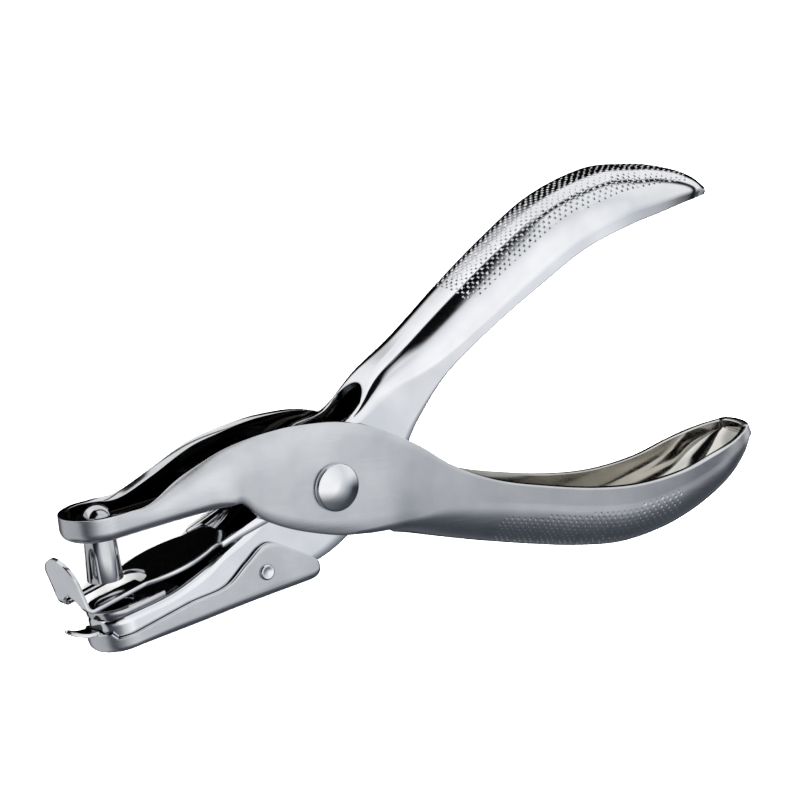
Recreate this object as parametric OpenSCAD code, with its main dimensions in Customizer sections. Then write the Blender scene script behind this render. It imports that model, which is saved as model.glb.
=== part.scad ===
// Plier-type single hole punch, pressed from plated sheet steel.
// It lies on its side: the lever plane is XY, the pivot axis is +Z, the jaws point to -X.

/* [Levers] */
// Distance from the pivot to the punch axis
jaw_reach = 41.4; // [37:0.2:47]
// Distance from the pivot to the end of each handle
handle_reach = 91; // [82:1:104]
// Thickness of the levers' sheet
sheet = 1.2; // [0.9:0.05:1.4]
// Width across the upper jaw
nose_w = 12.6; // [12:0.2:14]
// Height of the upper jaw's rim round the nose
nose_h = 4.2; // [3.6:0.1:5]
// Width across the die lever's side plates
inner_w = 9.8; // [9.4:0.2:11]
// Greatest width of the handles
handle_w = 16; // [15.4:0.1:18]
// Depth of the handles' channels
handle_h = 11; // [9.5:0.5:12]
// Slope of the upper jaw at rest
jaw_slope = 8.5; // [7:0.5:10]
// Angle that the jaws stand open at rest
open_angle = 7.8; // [7:0.2:8.6]
// Height of the upper jaw's underside above the pivot, square to the jaw
jaw_lift = 1.8; // [1:0.2:2.4]

/* [Punch and die] */
// Diameter of the punched hole
hole_d = 6; // [5:0.1:6.2]
// Length of the pin below the upper jaw
pin_drop = 7.7; // [7:0.1:8.4]
// Depth that the closed pin enters the die
pin_entry = 1.4; // [0.8:0.1:2]
// Thickness of the die plate
die_t = 1; // [0.8:0.1:1.4]
// Radial clearance between the pin and the die
die_clear = 0.35; // [0.3:0.05:0.4]

/* [Stripper] */
// Thickness of the stripper's sheet
strip_t = 0.7; // [0.5:0.05:0.9]
// Width of the stripper over the die
strip_w = 9.4; // [9:0.2:10]
// Height of the paper slot over the die
paper_gap = 1.8; // [1.2:0.1:2.2]
// Rise of the strip towards the pivot
strip_slope = 3; // [1:0.5:4]
// Height of the bent-up front tab
tab_h = 9.8; // [8:0.2:10.4]

/* [Chip tray] */
// Thickness of the tray's sheet
tray_t = 0.7; // [0.5:0.05:0.8]
// Height of the tray's wall at the nose
tray_h = 4.2; // [3.8:0.1:4.6]
// Diameter of the tray's hinge rivets
tray_pin_d = 1.8; // [1.4:0.1:2.4]
// Reach of the tray's thumb lip
lip_reach = 3.6; // [2.6:0.1:4.2]

/* [Pivot and spring] */
// Diameter of the rivet's shank
rivet_d = 5; // [4.4:0.1:5.4]
// Diameter of the rivet's domed head
rivet_head_d = 8.2; // [7.4:0.1:9.4]
// Height of the rivet's domed head
rivet_head_h = 1.7; // [1.2:0.1:2.2]
// Outside diameter of the spacer sleeve
sleeve_d = 6.8; // [6.4:0.1:7]
// Diameter of the spring's wire
wire_d = 1.1; // [0.8:0.05:1.2]
// Whole turns of the spring's coil
spring_turns = 3; // [2:1:3]
// Length of the spring's straight legs
leg_length = 21; // [16:0.5:22]

/* [Fits] */
// Radial clearance of a turning fit
run_clear = 0.05; // [0.02:0.01:0.1]
// Gap between plates that slide past each other
side_gap = 0.15; // [0.1:0.05:0.3]
// Gap between the tray and the jaw inside it
tray_gap = 0.25; // [0.2:0.05:0.35]

/* [Hidden] */
$fn = 64;
// Steps of the channel surfaces: between two rows, round a corner, round an end
span_steps = 3;
corner_steps = 6;
end_steps = 8;
// Shares of the wall's height where its inward lean is drawn
wall_shares = [0.5, 0.78];
// Inside and outside half widths of the nested plates
plate_in = inner_w / 2;
plate_bare = plate_in - sheet;
arm_in = plate_in + side_gap;
arm_out = arm_in + strip_t;
punch_in = arm_out + side_gap;
punch_out = punch_in + sheet;
tray_in = plate_in + tray_gap;
tray_out = tray_in + tray_t;
// The rivet's tail and the handles' sides touch the surface that the punch lies on
lie_h = handle_w / 2;
die_slope = jaw_slope + open_angle;
die_y = jaw_lift - pin_drop + pin_entry;
die_web_y = die_y - die_t;
throat_x = 17.5;
pin_root_d = hole_d - 0.8;
pin_stem_d = hole_d - 1.6;
pin_head_d = hole_d - 1;
die_back = hole_d + 1;
tip_reach = 0.35;
// Tray hinge in the lower jaw's frame
tray_hinge = [-15.9, -9];
coil_r = sleeve_d / 2 + 0.15 + wire_d / 2;
coil_pitch = wire_d + 0.55;

function turned(a, p) = [p.x * cos(a) - p.y * sin(a), p.x * sin(a) + p.y * cos(a)];
function in_upper(p) = turned(jaw_slope, p);
function in_lower(p) = turned(die_slope, p);

// One row of a pressed channel: web point, rim point, half widths at the web and at the rim,
// height of the rounded corner and half width of the flat middle of the web
function row(web, rim, web_half, rim_half, corner, flat) =
    [web.x, web.y, rim.x, rim.y, web_half, rim_half, corner, flat];

// Upper jaw from the nose to the throat: share of the way, rim height, half widths at web and rim
function upper_x(share) = -jaw_reach + share * (jaw_reach - throat_x);
function upper_row(share, rise, web_half, rim_half) =
    row(in_upper([upper_x(share), jaw_lift]), in_upper([upper_x(share), jaw_lift + rise]),
        web_half, rim_half, 1.6, web_half - 1.6);
// Side plate round the pivot, square-edged
function plate_row(web, rim, half, lean = 0) = row(web, rim, half, half - lean, 0.5, half - 0.5);
// Lower handle: place along it, rim height, share of the depth, half width, corner height
function lower_row(share, rim_y, depth, half, corner) =
    row([share * handle_reach, rim_y - depth * handle_h], [share * handle_reach, rim_y],
        half, half, corner, half * 0.25);
// Where the lower handle's web curls up to its rim: shares and heights of web and rim
function tip_row(web_share, web_y, rim_share, rim_y, half, corner) =
    row([web_share * handle_reach, web_y], [rim_share * handle_reach, rim_y], half, half, corner, half * 0.12);

wide = handle_w / 2;
nose = nose_w / 2;
punch_rows = [
    upper_row(0, nose_h, nose, nose),
    upper_row(0.12, nose_h, nose, nose - 0.2),
    upper_row(0.3, nose_h + 0.1, nose, nose - 0.8),
    upper_row(0.55, nose_h + 2.4, nose + 0.1, nose - 1.7),
    upper_row(0.78, nose_h + 4.3, nose + 0.5, nose - 1.4),
    row(in_upper([upper_x(0.92), jaw_lift]), in_upper([upper_x(0.94), jaw_lift + nose_h + 5.3]),
        punch_out, punch_out - 2, 0.8, punch_out - 0.8),
    plate_row(in_upper([-throat_x, jaw_lift - 0.3]), [-16.2, 9.5], punch_out, 1.9),
    plate_row([-14, -3.9], [-12.2, 10.3], punch_out, 1.6),
    plate_row([-8, -6.4], [-7.2, 10.9], punch_out, 1.1),
    plate_row([0, -8.3], [0, 10.9], punch_out, 0.3),
    plate_row([6, -8.9], [6, 9.7], punch_out, 0),
    plate_row([11.5, -9.4], [11.5, 7.6], punch_out, 0),
    lower_row(0.187, 4.9, 1.42, punch_out - 0.1, 2.4),
    lower_row(0.264, 0.7, 1.18, punch_out - 0.3, 4),
    lower_row(0.363, -2.8, 1.03, punch_out - 0.3, 4.6),
    lower_row(0.473, -4.9, 1, wide - 0.9, 5),
    lower_row(0.582, -6.3, 1, wide - 0.4, 5),
    lower_row(0.681, -6.6, 1, wide - 0.1, 5),
    lower_row(0.78, -5.4, 0.945, wide, 5.6),
    lower_row(0.857, -3.2, 0.877, wide - 0.2, 6.4),
    tip_row(0.916, -9.6, 0.897, -1.9, wide - 1, 5.8),
    tip_row(0.958, -5.4, 0.939, -0.6, wide - 2.6, 3.4),
    tip_row(0.981, -1.8, 0.969, 0.4, wide - 5, 1.2)];

// Upper handle: its line runs from the pivot to its tip
handle_line = 27.6;
function upper_handle_row(web_share, web_y, rim_share, rim_y, half, corner) =
    row(turned(handle_line, [web_share * handle_reach, web_y]),
        turned(handle_line, [rim_share * handle_reach, rim_y]), half, half, corner, half * 0.2);

die_rows = [
    row(in_lower([-jaw_reach, die_web_y]), in_lower([-jaw_reach, die_web_y - 3.6]),
        plate_in, plate_in, 1.3, plate_in - 1.3),
    row(in_lower([-jaw_reach + 8, die_web_y]), in_lower([-jaw_reach + 8, die_web_y - 3.9]),
        plate_in, plate_in, 1.3, plate_in - 1.3),
    row(in_lower([-26.5, die_web_y + 1.3]), in_lower([-25.5, die_web_y - 4.3]),
        plate_in, plate_in, 1.3, plate_in - 1.3),
    plate_row([-20.4, -9.2], [-18, -15.5], plate_in),
    plate_row([-15, -5.4], [-9.5, -14], plate_in),
    plate_row([-10, -0.2], [-2, -12.5], plate_in),
    plate_row([-6.4, 5.2], [4.5, -8.6], plate_in),
    plate_row([-1.5, 8.8], [10.5, -2.6], plate_in),
    plate_row([5, 10.9], [14.8, 3.4], plate_in),
    row([10.3, 17.1], [17.6, 8.8], plate_in + 0.2, plate_in + 0.2, 3, 2.2),
    upper_handle_row(0.281, 12, 0.307, 3.9, plate_in + 1, 4),
    upper_handle_row(0.408, 14.5, 0.424, 6.2, wide - 1.3, 4.6),
    upper_handle_row(0.531, 16.5, 0.542, 7.4, wide - 0.8, 5),
    upper_handle_row(0.663, 17.7, 0.665, 8.2, wide - 0.3, 5),
    upper_handle_row(0.789, 16, 0.769, 7, wide, 5),
    upper_handle_row(0.87, 12.4, 0.846, 5.1, wide - 0.7, 5),
    upper_handle_row(0.93, 8.6, 0.901, 3.6, wide - 1.7, 4.2),
    upper_handle_row(0.969, 4.9, 0.943, 2.1, wide - 3.1, 2.6),
    upper_handle_row(0.99, 1.6, 0.976, 0.6, wide - 5.4, 1)];

// Chip tray in the lower jaw's frame: place, floor, rim
function tray_row(floor, rim) = row(in_lower(floor), in_lower(rim), tray_out, tray_out, 1.4, tray_out - 1.4);
tray_floor_y = die_web_y - 6;
tray_rim_y = tray_floor_y + tray_h;
tray_rows = [
    tray_row([-jaw_reach, tray_floor_y], [-jaw_reach, tray_rim_y]),
    tray_row([-30, tray_floor_y - 0.9], [-30, tray_rim_y - 1]),
    tray_row([-24, tray_floor_y - 1.3], [-23.6, tray_rim_y - 1.1]),
    tray_row([-18.8, tray_floor_y - 1.7], [-18.8, tray_rim_y + 1.1]),
    tray_row([-14.3, tray_floor_y - 2.1], [-14.3, tray_rim_y + 2.8]),
    tray_row([-10, tray_floor_y - 2.5], [-10, tray_rim_y]),
    tray_row([-6.4, tray_floor_y - 2.8], [-5.8, tray_rim_y - 3.9])];

// Smooth curve through the rows
function between(rows, i, f) =
    let (
        a = rows[max(i - 1, 0)],
        b = rows[i],
        c = rows[i + 1],
        d = rows[min(i + 2, len(rows) - 1)]
    )
    0.5 * (2 * b + (c - a) * f + (2 * a - 5 * b + 4 * c - d) * f * f + (3 * b - a - 3 * c + d) * f * f * f);
function smooth(rows) = [
    for (i = [0 : len(rows) - 2])
        for (k = [0 : span_steps - 1]) between(rows, i, k / span_steps),
    rows[len(rows) - 1]];

// Half of a channel's section: out along the web, up the wall, and back inside it
function corner_points(half, flat, high, lift, order) = [
    for (k = order)
        let (a = 90 * k / corner_steps)
        [flat + (half - flat) * sin(a), lift + high * (1 - cos(a))]];
function wall_point(s, rim_h, f, t) =
    [s[4] + (s[5] - s[4]) * pow(f, 4) - t, s[6] + (rim_h - s[6]) * f];
function half_section(s, t) =
    let (
        rim_h = norm([s[2] - s[0], s[3] - s[1]]),
        inner_high = max(s[6] - t, 0.3),
        inner_flat = min(s[7], s[4] - t - 0.25)
    )
    concat([[0, 0]],
        corner_points(s[4], s[7], s[6], 0, [0 : corner_steps]),
        [for (f = wall_shares) wall_point(s, rim_h, f, 0)],
        [[s[5], rim_h], [s[5] - t, rim_h]],
        [for (k = [len(wall_shares) - 1 : -1 : 0]) wall_point(s, rim_h, wall_shares[k], t)],
        corner_points(s[4] - t, inner_flat, inner_high, t, [corner_steps : -1 : 0]),
        [[0, t]]);

// Pressed channel with rounded ends, as one closed surface.
// side is 1 where the rim lies to the left of the way from the first row to the last, else -1.
// The far end is drawn out by end_reach times its half width.
module channel(rows, t, side, open_end = false, end_reach = 1) {
    st = smooth(rows);
    n = len(st);
    turns = concat(
        [for (i = [0 : n - 1]) [i, 0]],
        open_end ? [] : [for (k = [1 : end_steps - 1]) [n - 1, 180 * k / end_steps]],
        [for (i = [n - 1 : -1 : 0]) [i, 180]],
        [for (k = [1 : end_steps - 1]) [0, 180 - 180 * k / end_steps]]);
    sections = [for (s = st) half_section(s, t)];
    m = len(sections[0]);
    // Point k of the half section at one turn of the outline
    function spot(turn, k) =
        let (
            s = st[turn[0]],
            up = [s[2] - s[0], s[3] - s[1]] / norm([s[2] - s[0], s[3] - s[1]]),
            along = (turn[0] == 0 ? -side : side * end_reach) * [up.y, -up.x],
            p = sections[turn[0]][k],
            flat = [s[0], s[1]] + up * p.y + along * sin(turn[1]) * p.x
        )
        [flat.x, flat.y, p.x * cos(turn[1])];
    // The middle of the web is shared by both halves
    function id(j, k) =
        let (turn = turns[j % len(turns)])
        k == 0 ? turn[0] :
        k == m - 1 ? n + turn[0] :
        2 * n + (j % len(turns)) * (m - 2) + k - 1;
    points = concat(
        [for (i = [0 : n - 1]) spot([i, 0], 0)],
        [for (i = [0 : n - 1]) spot([i, 0], m - 1)],
        [for (turn = turns) for (k = [1 : m - 2]) spot(turn, k)]);
    skipped = open_end ? n - 1 : -1;
    skin = [
        for (j = [0 : len(turns) - 1])
            if (j != skipped)
                for (k = [0 : m - 2])
                    for (tri = [[id(j, k), id(j, k + 1), id(j + 1, k + 1)],
                            [id(j, k), id(j + 1, k + 1), id(j + 1, k)]])
                        if (tri[0] != tri[1] && tri[1] != tri[2] && tri[0] != tri[2]) tri];
    // Flat cut across the sheet at an open end
    cut = !open_end ? [] : [
        for (k = [0 : m / 2 - 2])
            for (tri = [[id(n - 1, k), id(n - 1, m - 2 - k), id(n - 1, m - 1 - k)],
                    [id(n - 1, k), id(n - 1, k + 1), id(n - 1, m - 2 - k)],
                    [id(n, k), id(n, m - 1 - k), id(n, m - 2 - k)],
                    [id(n, k), id(n, m - 2 - k), id(n, k + 1)]])
                tri];
    faces = concat(skin, cut);
    polyhedron(points, side > 0 ? faces : [for (f = faces) [f[0], f[2], f[1]]], convexity = 6);
}

// Bore along the pivot axis through everything
module pivot_bore(d) {
    cylinder(d = d, h = 4 * punch_out, center = true);
}

// Round rod square to the lever plane's X direction, standing on y and rising along +Y
module rod_up(x, y, d, h) {
    translate([x, y, 0]) rotate([-90, 0, 0]) cylinder(d = d, h = h);
}

// Cap of a sphere on a circle of diameter d, rising h along +Z
module dome(d, h) {
    r = (d * d / 4 + h * h) / (2 * h);
    intersection() {
        translate([0, 0, h - r]) sphere(r);
        cylinder(d = d, h = h);
    }
}

module laid() {
    translate([0, 0, lie_h]) children();
}
module upper_frame() {
    laid() rotate([0, 0, jaw_slope]) children();
}
module lower_frame() {
    laid() rotate([0, 0, die_slope]) children();
}

// Part of the web cut away between the side plates
module web_cut(outline, half) {
    translate([0, 0, -half]) linear_extrude(2 * half) polygon(outline);
}

punch_cut = [[-throat_x + 0.2, 0.5], [-throat_x + 0.2, -13], [11.5, -13], [11.5, -7.4],
    [0, -6.3], [-8, -4.2], [-13, -1.6]];
die_cut = [[-29, -12.2], [-24.2, -6.4], [-17, -1], [-13, 5], [-7, 12], [0, 17], [3.6, 15.6], [9.2, 10],
    [6.9, 9.2], [0.4, 6.9], [-3.4, 3.8], [-6.8, -2], [-11.6, -8.4], [-20.4, -13.4], [-24, -15],
    [-27.8, -16.2]];
// Both cuts end in a round notch in the handle's web
punch_notch = [11.5, -9];
die_notch = [6.45, 12.7];
die_notch_angle = 45;
notch_h = 8;

module punch_lever() {
    color("#c4c7cb") laid() difference() {
        channel(punch_rows, sheet, 1, end_reach = tip_reach);
        web_cut(punch_cut, punch_in - 0.1);
        translate(punch_notch) rotate([90, 0, 0]) cylinder(r = punch_in - 0.6, h = notch_h, center = true);
        pivot_bore(rivet_d + 2 * run_clear);
        rotate([0, 0, jaw_slope]) rod_up(-jaw_reach, jaw_lift - 1, pin_stem_d + 2 * run_clear, sheet + 2);
    }
}

module die_lever() {
    color("#d9dbde") laid() difference() {
        channel(die_rows, sheet, -1, end_reach = tip_reach);
        web_cut(die_cut, plate_bare - 0.1);
        translate(die_notch) rotate([90, 0, die_notch_angle])
            cylinder(r = plate_bare - 0.2, h = notch_h, center = true);
        pivot_bore(rivet_d + 2 * run_clear);
        rotate([0, 0, die_slope]) {
            rod_up(-jaw_reach, die_web_y - sheet - 1, hole_d + 0.4, sheet + 2);
            translate([tray_hinge.x, tray_hinge.y, 0]) pivot_bore(tray_pin_d + 2 * run_clear);
        }
    }
}

module punch_pin() {
    stem_top = jaw_lift + sheet;
    head_h = 2;
    crown_h = 1.2;
    color("#e6e7e9") upper_frame() {
        translate([-jaw_reach, jaw_lift, 0]) rotate([90, 0, 0])
            cylinder(d1 = pin_root_d, d2 = hole_d, h = pin_drop);
        rod_up(-jaw_reach, jaw_lift, pin_stem_d, sheet + 0.1);
        rod_up(-jaw_reach, stem_top, pin_head_d, head_h);
        translate([-jaw_reach, stem_top + head_h, 0]) rotate([-90, 0, 0]) dome(pin_head_d, crown_h);
    }
}

module die_plate() {
    color("#caccd0") lower_frame() difference() {
        union() {
            rod_up(-jaw_reach, die_web_y, inner_w, die_t);
            translate([-jaw_reach, die_web_y, -plate_in + 0.05]) cube([die_back, die_t, inner_w - 0.1]);
        }
        rod_up(-jaw_reach, die_web_y - 1, hole_d + 2 * die_clear, die_t + 2);
    }
}

module chip_tray() {
    lip_r = 2.2;
    lip_tilt = 18;
    // The side walls are trimmed lower than the nose
    trim = [[-jaw_reach - 1, tray_rim_y - 0.9], [-jaw_reach - 1, tray_rim_y + 3],
        [-29, tray_rim_y + 3], [-29, tray_rim_y - 0.9]];
    color("#c9cbcf") laid() difference() {
        union() {
            channel(tray_rows, tray_t, 1, true);
            rotate([0, 0, die_slope]) difference() {
                translate([-jaw_reach - tray_out + 0.6, tray_rim_y, 0]) rotate([90, 0, -lip_tilt])
                    translate([lip_r - lip_reach, 0, 0]) cylinder(r = lip_r, h = tray_t);
                rod_up(-jaw_reach, tray_rim_y - 3, 2 * tray_in - 0.2, 6);
            }
        }
        rotate([0, 0, die_slope]) {
            translate([0, 0, -tray_out - 1]) linear_extrude(2 * tray_out + 2) polygon(trim);
            translate([tray_hinge.x - 2.6, tray_floor_y - 4, -tray_in + 0.1]) cube([16, 6, 2 * tray_in - 0.2]);
            translate([tray_hinge.x, tray_hinge.y, 0]) pivot_bore(tray_pin_d + 2 * run_clear);
        }
    }
}

module tray_hinge_rivets() {
    head_h = 0.5;
    color("#e2e3e6") lower_frame() translate([tray_hinge.x, tray_hinge.y, 0]) {
        for (flip = [0, 1]) mirror([0, 0, flip]) {
            translate([0, 0, plate_bare]) cylinder(d = tray_pin_d, h = tray_out - plate_bare + 0.05);
            translate([0, 0, tray_out + 0.05]) dome(tray_pin_d + 1, head_h);
        }
    }
}

module stripper() {
    bend_r = 0.8;
    front = -nose - 0.5 + bend_r;
    rear = 22;
    window_l = 10.4;
    window_r = hole_d / 2 + 0.5;
    window_x = 1.4;
    lean = 5;
    foot = bend_r + strip_t;
    // The strip swells like a leaf between the window and the arms
    leaf_x = 11;
    leaf_l = 12;
    leaf_half = strip_w / 2 + 1.8;
    leaf_r = (leaf_l * leaf_l + leaf_half * leaf_half) / (2 * leaf_half);
    // Side view of the strip with its bent-up tab, in the strip's own frame
    module side_view() {
        translate([front, 0]) square([rear - front, strip_t]);
        translate([front, foot]) difference() {
            intersection() {
                circle(foot);
                polygon([[0, 0], [0, -9], [-9, -9], [-9, 9 * tan(lean)]]);
            }
            circle(bend_r);
        }
        translate([front, foot]) rotate(lean) translate([-foot, 0]) square([strip_t, tab_h - foot]);
    }
    // The tab ends round
    module front_view() {
        top_r = strip_w / 2 + 0.5;
        intersection() {
            translate([-strip_w / 2, -1]) square([strip_w, tab_h + 2]);
            union() {
                translate([0, tab_h - top_r]) circle(top_r);
                translate([-top_r + 0.2, -2]) square([2 * top_r - 0.4, tab_h - top_r + 2]);
            }
        }
    }
    // The window is round at the back and runs forward through the bend
    module window_plan() {
        end_r = window_r + 0.5;
        end_x = window_x + window_l / 2 - end_r;
        intersection() {
            translate([front - 6, -window_r]) square([window_l + 12, 2 * window_r]);
            union() {
                translate([end_x, 0]) circle(end_r);
                translate([front - 7, -end_r + 0.2]) square([end_x - front + 7, 2 * end_r - 0.4]);
            }
        }
    }
    module leaf_plan() {
        intersection() {
            translate([leaf_x, leaf_r - leaf_half]) circle(leaf_r);
            translate([leaf_x, leaf_half - leaf_r]) circle(leaf_r);
        }
    }
    module arm_outline() {
        circle(r = rivet_d / 2 + 2);
        polygon([[-jaw_reach + 19, die_y + paper_gap + 0.95], [-jaw_reach + 22.2, die_y + paper_gap + 1.1],
            [-10, -1], [-3, -3.2], [-2, 3.6], [-9, 2.6], [-15, 0.4], [-jaw_reach + 22.2, die_y + paper_gap + 2.4],
            [-jaw_reach + 19, die_y + paper_gap + 1.9]]);
    }
    color("#e0e2e5") lower_frame() {
        translate([-jaw_reach, die_y + paper_gap, 0]) rotate([0, 0, strip_slope]) difference() {
            intersection() {
                linear_extrude(2 * arm_out + 4, center = true) side_view();
                union() {
                    translate([front - 5, 0, 0]) rotate([0, 90, 0])
                        linear_extrude(rear - front + 6) front_view();
                    translate([rear - 3, -1, -arm_out + 0.1]) cube([4, 20, 2 * arm_out - 0.2]);
                    translate([0, strip_t + 0.2, 0]) rotate([90, 0, 0]) linear_extrude(strip_t + 0.4) leaf_plan();
                }
            }
            translate([0, strip_t + 0.2, 0]) rotate([90, 0, 0]) linear_extrude(strip_t + 1.2) window_plan();
            translate([front - 5, strip_t + 2.2 - window_r, 0]) rotate([0, 90, 0])
                cylinder(r = window_r - 0.1, h = 4.4);
        }
        difference() {
            for (flip = [0, 1]) mirror([0, 0, flip])
                translate([0, 0, arm_in]) linear_extrude(strip_t) arm_outline();
            pivot_bore(rivet_d + 2 * run_clear);
        }
    }
}

module pivot_rivet() {
    tail_r = rivet_head_d / 2 - 0.1;
    color("#dcdee1") laid() {
        cylinder(d = rivet_d, h = 2 * punch_out, center = true);
        translate([0, 0, punch_out]) dome(rivet_head_d, rivet_head_h);
        translate([0, 0, -lie_h]) cylinder(r1 = tail_r - 0.6, r2 = tail_r, h = lie_h - punch_out);
    }
}

module pivot_sleeve() {
    color("#b9bcc1") laid() difference() {
        cylinder(d = sleeve_d, h = 2 * (plate_bare - side_gap), center = true);
        pivot_bore(rivet_d + 2 * run_clear);
    }
}

// Torsion spring: one leg lies in the lower handle, the other under the upper handle's web
lower_leg_angle = -14.4;
upper_leg_angle = 39;
coil_from = 270 + lower_leg_angle;
coil_turn = coil_from - 90 - upper_leg_angle + 360 * spring_turns;
coil_rings = round(16 * coil_turn / 360);
coil_h = coil_pitch * coil_turn / 360;
function coil_spot(f) =
    let (a = coil_from - coil_turn * f)
    [coil_r * cos(a), coil_r * sin(a), coil_h * (f - 0.5)];
function leg_spot(f, a, l) = coil_spot(f) + l * [cos(a), sin(a), 0];
spring_path = concat(
    [leg_spot(0, lower_leg_angle, leg_length), leg_spot(0, lower_leg_angle, wire_d)],
    [for (k = [0 : coil_rings]) coil_spot(k / coil_rings)],
    [leg_spot(1, upper_leg_angle, wire_d), leg_spot(1, upper_leg_angle, leg_length)]);
// Least distance between turns, less the wire
spring_gap = min([for (i = [0 : 40]) for (j = [i + 4 : 1 : 80])
    norm(coil_spot(i / 40) - coil_spot(min(1, j / 40))) > 0 && j - i > 6 && j <= 40
        ? norm(coil_spot(i / 40) - coil_spot(j / 40)) - wire_d : 99]);
echo(spring_gap = spring_gap);

module return_spring() {
    sides = 6;
    n = len(spring_path);
    function ring(i) =
        let (
            a = spring_path[max(i - 1, 0)],
            b = spring_path[min(i + 1, n - 1)],
            t = (b - a) / norm(b - a),
            across = cross([0, 0, 1], t) / norm(cross([0, 0, 1], t)),
            up = cross(t, across)
        )
        [for (k = [0 : sides - 1])
            spring_path[i] + wire_d / 2 * (cos(360 * k / sides) * across + sin(360 * k / sides) * up)];
    points = [for (i = [0 : n - 1]) each ring(i)];
    skin = [for (i = [0 : n - 2]) for (k = [0 : sides - 1])
        let (a = i * sides + k, b = i * sides + (k + 1) % sides)
        for (tri = [[a, b, b + sides], [a, b + sides, a + sides]]) tri];
    first = [for (k = [1 : sides - 2]) [0, k + 1, k]];
    last = [for (k = [1 : sides - 2]) (n - 1) * sides * [1, 1, 1] + [0, k, k + 1]];
    color("#9a9ea5") laid() polyhedron(points, [for (f = concat(skin, first, last)) [f[0], f[2], f[1]]], convexity = 8);
}

punch_lever();
die_lever();
punch_pin();
die_plate();
stripper();
chip_tray();
tray_hinge_rivets();
pivot_rivet();
pivot_sleeve();
return_spring();
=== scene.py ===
# %% [markdown]
# # A single hole punch
# Two pressed steel levers cross at a rivet. One carries the punch pin and, behind the rivet, the lower
# handle. The other carries the die and the upper handle. Between the jaws lies a thin stripper, under
# them a chip tray. The CAD model says where everything is and how it moves. Here each piece is made
# again with the finish of the real one: bent sheet with rounded edges, knurled grips, mirror and satin
# nickel.

# %% Load the frame
import math

import bmesh
import bpy
from mathutils import Matrix, Vector


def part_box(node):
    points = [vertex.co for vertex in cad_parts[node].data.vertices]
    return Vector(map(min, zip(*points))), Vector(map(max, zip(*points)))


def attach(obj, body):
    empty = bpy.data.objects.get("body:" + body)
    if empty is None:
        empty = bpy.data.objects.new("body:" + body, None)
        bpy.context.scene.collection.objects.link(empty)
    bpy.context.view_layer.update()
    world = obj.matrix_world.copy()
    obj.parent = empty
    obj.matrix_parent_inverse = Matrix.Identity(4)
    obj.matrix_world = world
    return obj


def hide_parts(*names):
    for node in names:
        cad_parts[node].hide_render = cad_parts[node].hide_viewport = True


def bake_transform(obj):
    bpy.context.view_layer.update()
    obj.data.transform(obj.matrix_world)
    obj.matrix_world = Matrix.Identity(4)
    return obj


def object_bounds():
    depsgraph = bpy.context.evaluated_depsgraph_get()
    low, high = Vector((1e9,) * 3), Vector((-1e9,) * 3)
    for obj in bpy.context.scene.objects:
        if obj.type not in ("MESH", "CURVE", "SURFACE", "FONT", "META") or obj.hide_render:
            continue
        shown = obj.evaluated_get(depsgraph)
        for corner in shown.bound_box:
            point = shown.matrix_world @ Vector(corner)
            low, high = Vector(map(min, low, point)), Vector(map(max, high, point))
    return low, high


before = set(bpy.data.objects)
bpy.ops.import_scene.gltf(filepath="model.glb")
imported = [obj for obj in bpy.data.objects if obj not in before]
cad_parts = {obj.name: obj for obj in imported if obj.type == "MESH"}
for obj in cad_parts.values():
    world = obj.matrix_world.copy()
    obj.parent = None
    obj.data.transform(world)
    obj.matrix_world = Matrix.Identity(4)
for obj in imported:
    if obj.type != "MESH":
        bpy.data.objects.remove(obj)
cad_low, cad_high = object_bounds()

MM = 0.001
lever_low, lever_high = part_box("punch_lever")
mid_z = (lever_low.z + lever_high.z) / 2 / MM
print("The tool's middle plane lies", round(mid_z, 2), "mm above the floor")


# %% [markdown]
# ## The photograph's camera
# The camera looks down on the lying tool from the left. Three angles could place it, but its sideways
# axis has no part along Y, so the whole turn follows from one direction, the one back towards the lens.
# A long lens keeps parallels nearly parallel.

# %% Camera
TO_LENS = Vector((-0.5404, 0.1908, 0.8195))
TARGET = Vector((13.554, 12.988, 13.913)) * MM
DISTANCE = 0.9
LENS, FILM = 243, 36
FAR_CLIP = 20

back = TO_LENS.normalized()
right = Vector((0, 1, 0)).cross(back).normalized()
up = back.cross(right)
facing = Matrix((right, up, back)).transposed().to_4x4()
camera = bpy.data.objects.new("camera", bpy.data.cameras.new("camera"))
camera.data.lens = LENS
camera.data.sensor_width = FILM
camera.data.clip_end = FAR_CLIP
camera.matrix_world = Matrix.Translation(TARGET + back * DISTANCE) @ facing
bpy.context.scene.collection.objects.link(camera)
bpy.context.scene.camera = camera
print("Camera stands at", [round(c, 3) for c in camera.matrix_world.translation])


# %% [markdown]
# ## Colours and nodes
# A hex colour is sRGB, and a shader wants linear light, so every colour passes through one function. A
# second one adds a node with its settings, its links and, on a colour ramp, its stops.

# %% Colour and node helpers
def linear(code):
    parts = [int(code[k:k + 2], 16) / 255 for k in (1, 3, 5)]
    return [c / 12.92 if c <= 0.04045 else ((c + 0.055) / 1.055) ** 2.4 for c in parts] + [1]


def add(tree, kind, settings=(), links=(), stops=()):
    """A new node. A setting is a socket's value or a property, a link comes from another node's socket, and
    the stops are a ramp's places and colours from the lowest up."""
    node = tree.nodes.new("ShaderNode" + kind)
    for key, value in dict(settings).items():
        sockets = node.inputs if key in node.inputs else node.outputs
        if key in sockets:
            sockets[key].default_value = value
        else:
            setattr(node, key, value)
    for key, source in dict(links).items():
        tree.links.new(source, node.inputs[key])
    if stops:
        marks = node.color_ramp.elements
        marks.remove(marks[-1])
        marks[0].position = stops[0][0]
        marks[0].color = linear(stops[0][1])
        for place, code in stops[1:]:
            marks.new(place).color = linear(code)
    return node


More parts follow.
